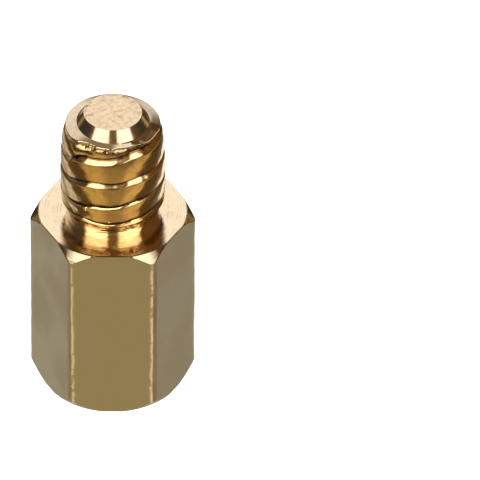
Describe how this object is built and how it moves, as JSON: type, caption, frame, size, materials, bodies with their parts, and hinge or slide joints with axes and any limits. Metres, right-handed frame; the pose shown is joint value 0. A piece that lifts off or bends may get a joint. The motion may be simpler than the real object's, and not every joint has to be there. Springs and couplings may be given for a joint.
{
  "type": "hex standoff",
  "caption": "Hexagonal brass standoff turned in one piece, with a threaded stud at one end and a countersunk, threaded blind socket at the other.",
  "frame": {"origin": "centre of the socket end's face, on the surface that the part stands on", "axes": "+Z along the axis from the socket end to the stud's tip, +X through one corner of the hexagon"},
  "size_m": [0.0054, 0.0048, 0.0107],
  "materials": {
    "brass": "bright turned ends, thread and socket, with satin drawn flats"
  },
  "bodies": {
    "root": {"hex_standoff": "brass"}
  },
  "joints": []
}
